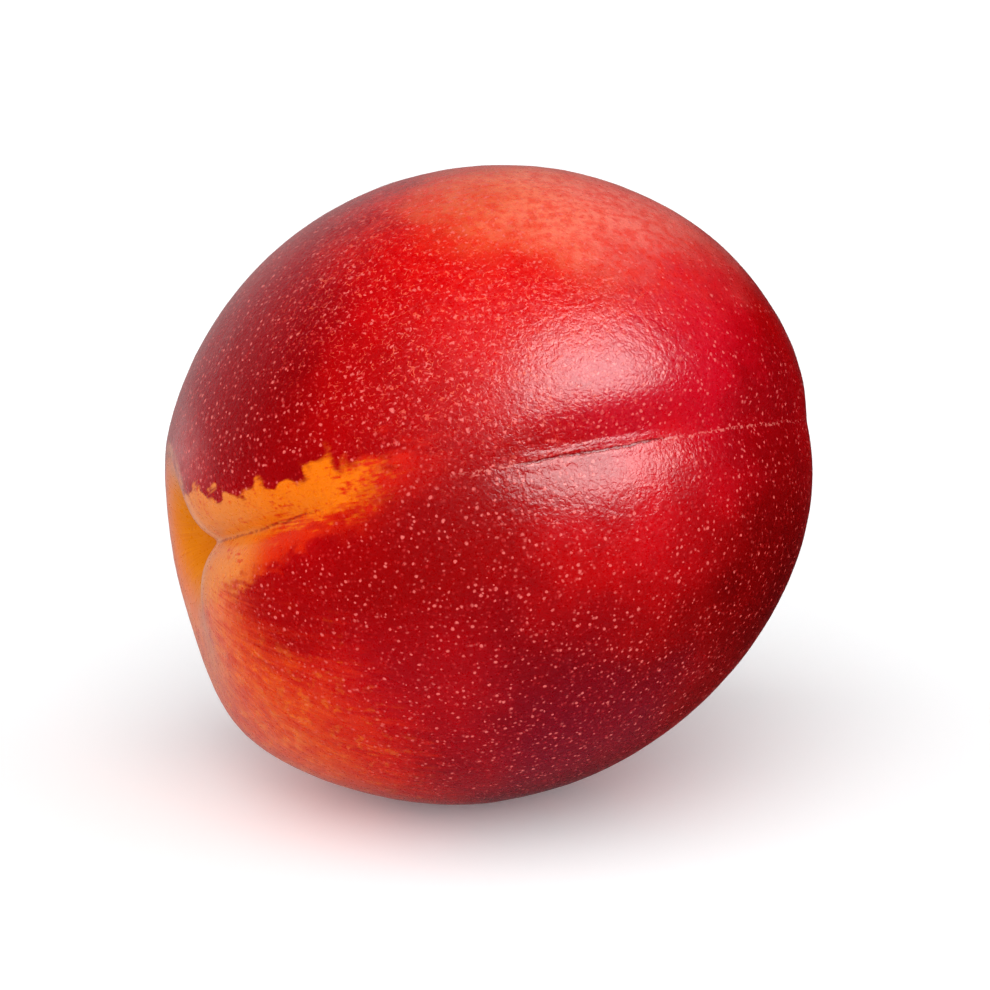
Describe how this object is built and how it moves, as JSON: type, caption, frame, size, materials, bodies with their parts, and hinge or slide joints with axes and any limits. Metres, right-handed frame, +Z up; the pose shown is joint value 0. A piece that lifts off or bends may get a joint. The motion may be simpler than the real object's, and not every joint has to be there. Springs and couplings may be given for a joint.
{
  "type": "nectarine",
  "caption": "Whole ripe nectarine lying on its side, smooth-skinned and nearly round, with a funnel-shaped stem cavity and a suture crease running to its tip.",
  "frame": {"origin": "middle of the fruit's footprint box, on the surface that it rests on", "axes": "+Z up; +X along the lying fruit from its stem end to its tip, level, with the stem end dipped 7 degrees; the suture faces -Y and is raised 22 degrees above level"},
  "size_m": [0.0678, 0.0662, 0.066],
  "materials": {
    "skin": "satin"
  },
  "bodies": {
    "root": {"nectarine": "skin"}
  },
  "joints": []
}
